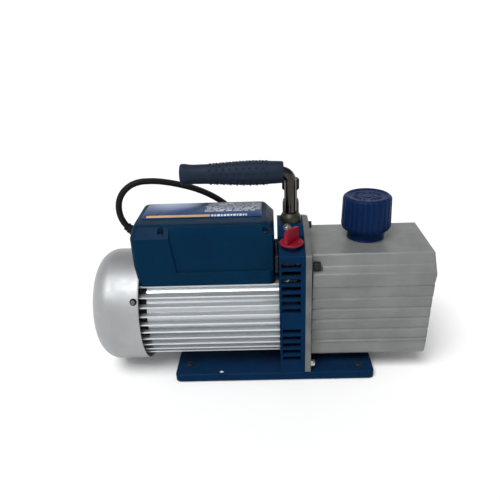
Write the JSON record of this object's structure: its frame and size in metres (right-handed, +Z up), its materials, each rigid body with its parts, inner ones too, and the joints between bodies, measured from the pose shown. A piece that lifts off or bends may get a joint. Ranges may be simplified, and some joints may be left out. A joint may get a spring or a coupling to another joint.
{
  "type": "rotary vane vacuum pump",
  "caption": "Two-stage oil-sealed rotary vane vacuum pump with a finned motor, terminal box, ribbed oil case, exhaust cap, carrying handle and supply cord.",
  "frame": {"origin": "on the floor under the middle of the pump's bounding box, cord left out", "axes": "+X along the shaft from the motor's fan to the oil case, +Z up, terminal box's panelled side faces -Y"},
  "size_m": [0.4068, 0.2865, 0.2568],
  "materials": {
    "blue_paint": "satin blue powder paint",
    "box_plastic": "fine-textured moulding",
    "cap_plastic": "satin moulding",
    "bare_aluminium": "extruded, bare",
    "case_paint": "silver-grey metallic paint",
    "flange_metal": "cast, dull grey",
    "silver_paint": "silver metallic paint",
    "black_metal": "black paint",
    "black_plastic": "moulded",
    "black_rubber": "matt",
    "grip_rubber": "ribbed, satin",
    "red_plastic": "glossy moulding",
    "dark_steel": "dark glossy rod",
    "bright_steel": "ground or zinc plated",
    "lamination": "stacked laminations",
    "copper": null,
    "brass": "dull olive brass",
    "cast_iron": "machined",
    "label_print": "printed film",
    "clear_glass": "clear",
    "filter_felt": "felt element",
    "composite": "self-lubricating composite"
  },
  "bodies": {
    "pump": {"base_plate": "blue_paint", "bracket": "blue_paint", "terminal_box": "box_plastic", "box_lid": "box_plastic", "exhaust_neck": "cap_plastic", "motor_frame": "bare_aluminium", "oil_case": "case_paint", "flange_plate": "flange_metal", "fan_cowl": "silver_paint", "rear_shield": "black_metal", "front_shield": "black_metal", "box_stay": "black_metal", "case_bolt_upper_front": "black_metal", "case_bolt_upper_rear": "black_metal", "case_bolt_lower_front": "bright_steel", "case_bolt_lower_rear": "bright_steel", "run_capacitor": "black_plastic", "switch_bezel": "black_plastic", "cord_plug": "black_plastic", "foot_front_left": "black_rubber", "foot_front_right": "black_rubber", "foot_rear_left": "black_rubber", "foot_rear_right": "black_rubber", "case_gasket": "black_rubber", "shaft_seal": "black_rubber", "cord_sleeve": "black_rubber", "supply_cord": "black_rubber", "cord_coil": "black_rubber", "handle_grip": "grip_rubber", "handle_rod": "dark_steel", "bearing_rear": "bright_steel", "bearing_front": "bright_steel", "sight_bezel": "bright_steel", "stator_core": "lamination", "stator_winding": "copper", "intake_body": "brass", "handle_collar": "brass", "seal_plate": "cast_iron", "centre_plate": "cast_iron", "end_cover": "cast_iron", "cylinder_high": "cast_iron", "cylinder_low": "cast_iron", "box_label": "label_print", "sight_lens": "clear_glass"},
    "drive": {"motor_shaft": "bright_steel", "rotor_core": "lamination", "cooling_fan": "black_plastic", "shaft_coupling": "cast_iron", "rotor_high": "bright_steel", "rotor_low": "bright_steel"},
    "vane_high_a": {"vane_high_a": "composite"},
    "vane_high_b": {"vane_high_b": "composite"},
    "vane_low_a": {"vane_low_a": "composite"},
    "vane_low_b": {"vane_low_b": "composite"},
    "exhaust_filter": {"exhaust_filter": "filter_felt"},
    "exhaust_cap": {"exhaust_cap": "cap_plastic"},
    "intake_cap": {"intake_cap": "black_plastic"},
    "ballast_knob": {"ballast_knob": "red_plastic"},
    "drain_plug": {"drain_plug": "brass"},
    "switch_rocker": {"switch_rocker": "black_plastic"}
  },
  "joints": [
    {"name": "drive_spin", "type": "hinge", "parent": "pump", "child": "drive", "pos_m": [0, 0, 0.077], "axis": [1, 0, 0], "continuous": true},
    {"name": "vane_high_a_slide", "type": "slide", "parent": "drive", "child": "vane_high_a", "axis": [0, -1, 0], "range_m": [0, 0.0032]},
    {"name": "vane_high_b_slide", "type": "slide", "parent": "drive", "child": "vane_high_b", "axis": [0, 1, 0], "range_m": [0, 0.0032]},
    {"name": "vane_low_a_slide", "type": "slide", "parent": "drive", "child": "vane_low_a", "axis": [0, -1, 0], "range_m": [0, 0.0032]},
    {"name": "vane_low_b_slide", "type": "slide", "parent": "drive", "child": "vane_low_b", "axis": [0, 1, 0], "range_m": [0, 0.0032]},
    {"name": "exhaust_lift", "type": "slide", "parent": "pump", "child": "exhaust_filter", "axis": [0, 0, 1], "range_m": [0, 0.0121]},
    {"name": "exhaust_cap_turn", "type": "hinge", "parent": "exhaust_filter", "child": "exhaust_cap", "pos_m": [0.1255, 0.005, 0.172], "axis": [0, 0, 1], "range_deg": [0, 1080]},
    {"name": "intake_cap_turn", "type": "hinge", "parent": "pump", "child": "intake_cap", "pos_m": [0.0362, 0.025, 0.22], "axis": [0, 0, 1], "range_deg": [0, 1080]},
    {"name": "ballast_turn", "type": "hinge", "parent": "pump", "child": "ballast_knob", "pos_m": [0.0338, -0.049, 0.1741], "axis": [0, 0, 1], "range_deg": [0, 180]},
    {"name": "drain_plug_turn", "type": "hinge", "parent": "pump", "child": "drain_plug", "pos_m": [0.1965, 0, 0.04], "axis": [1, 0, 0], "range_deg": [0, 1080]},
    {"name": "switch_rock", "type": "hinge", "parent": "pump", "child": "switch_rocker", "pos_m": [-0.1454, -0.018, 0.164], "axis": [0, 0, 1], "range_deg": [-8, 8]}
  ],
  "couplings": [
    {"joint": "exhaust_lift", "follows": "exhaust_cap_turn", "m_per_rad": 0.00063662}
  ]
}
